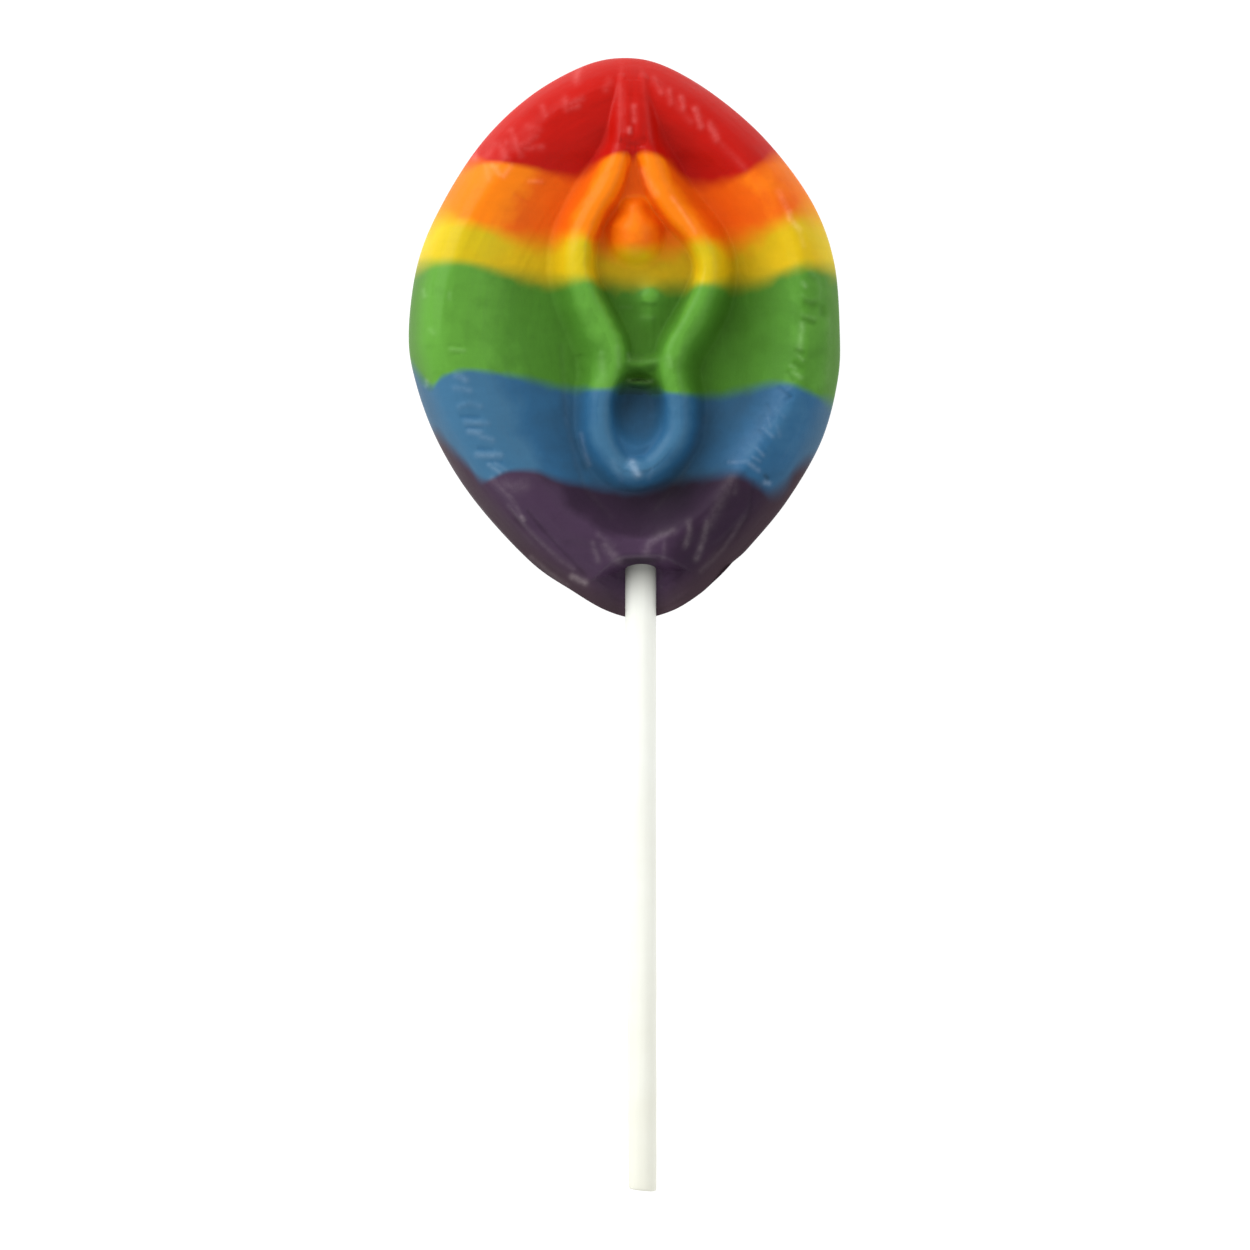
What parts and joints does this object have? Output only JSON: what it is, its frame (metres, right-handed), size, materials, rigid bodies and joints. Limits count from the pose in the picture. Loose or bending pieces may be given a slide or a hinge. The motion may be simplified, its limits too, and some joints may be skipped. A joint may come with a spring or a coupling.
{
  "type": "vulva lollipop",
  "caption": "Rainbow hard-candy lollipop cast in the shape of a vulva, with a flat back, colours poured as layers through the whole thickness and a straight round stick.",
  "frame": {"origin": "under the middle of the whole lollipop, on the surface it lies on", "axes": "+Z out of the relief, away from the flat back; +Y along the stick towards the round end of the head; +X to the right as seen from the front"},
  "size_m": [0.0581, 0.1526, 0.0132],
  "materials": {
    "candy_red": "semi-gloss hard sugar",
    "candy_orange": "semi-gloss hard sugar",
    "candy_yellow": "semi-gloss hard sugar",
    "candy_green": "semi-gloss hard sugar",
    "candy_blue": "semi-gloss hard sugar",
    "candy_purple": "semi-gloss hard sugar",
    "stick": "matt rolled paper"
  },
  "bodies": {
    "root": {"layer_red": "candy_red", "layer_orange": "candy_orange", "layer_yellow": "candy_yellow", "layer_green": "candy_green", "layer_blue": "candy_blue", "layer_purple": "candy_purple", "stick": "stick"}
  },
  "joints": []
}
